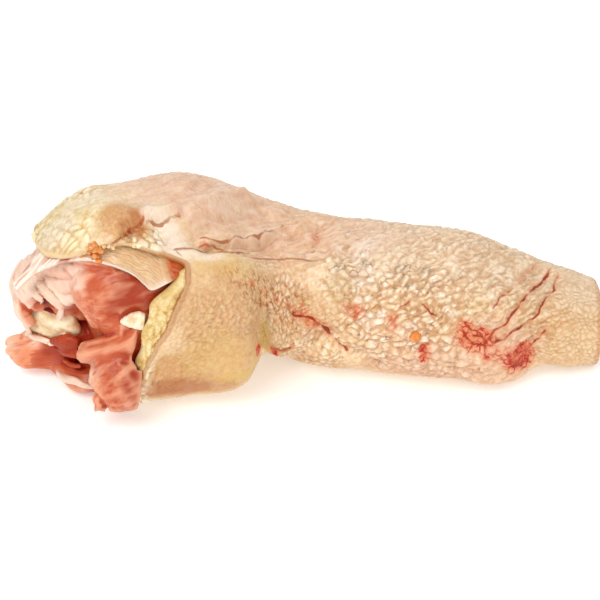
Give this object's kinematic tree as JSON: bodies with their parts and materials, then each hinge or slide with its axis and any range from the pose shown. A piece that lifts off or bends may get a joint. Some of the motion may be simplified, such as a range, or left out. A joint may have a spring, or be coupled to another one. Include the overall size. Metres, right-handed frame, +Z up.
{
  "type": "raw chicken neck",
  "caption": "Raw chicken neck with its skin on, lying on its side, with the muscles cut open at the shoulder end.",
  "frame": {"origin": "middle of the neck's outline seen from above, on the surface that it lies on", "axes": "+X along the neck from the shoulder end to the head end, -Y is the side that shows in the picture, +Z up"},
  "size_m": [0.1302, 0.0548, 0.046],
  "materials": {
    "skin": "moist pale skin, satin, pimpled",
    "flesh": "wet raw muscle, glossy",
    "fascia": "wet thin membrane, glossy",
    "fat": "moist yellow fat, satin",
    "gristle": "wet pale gristle, glossy"
  },
  "bodies": {
    "root": {"skin": "skin", "flesh": "flesh", "fascia": "fascia", "fat_edge": "fat", "fat_lump": "fat", "gristle": "gristle"}
  },
  "joints": []
}
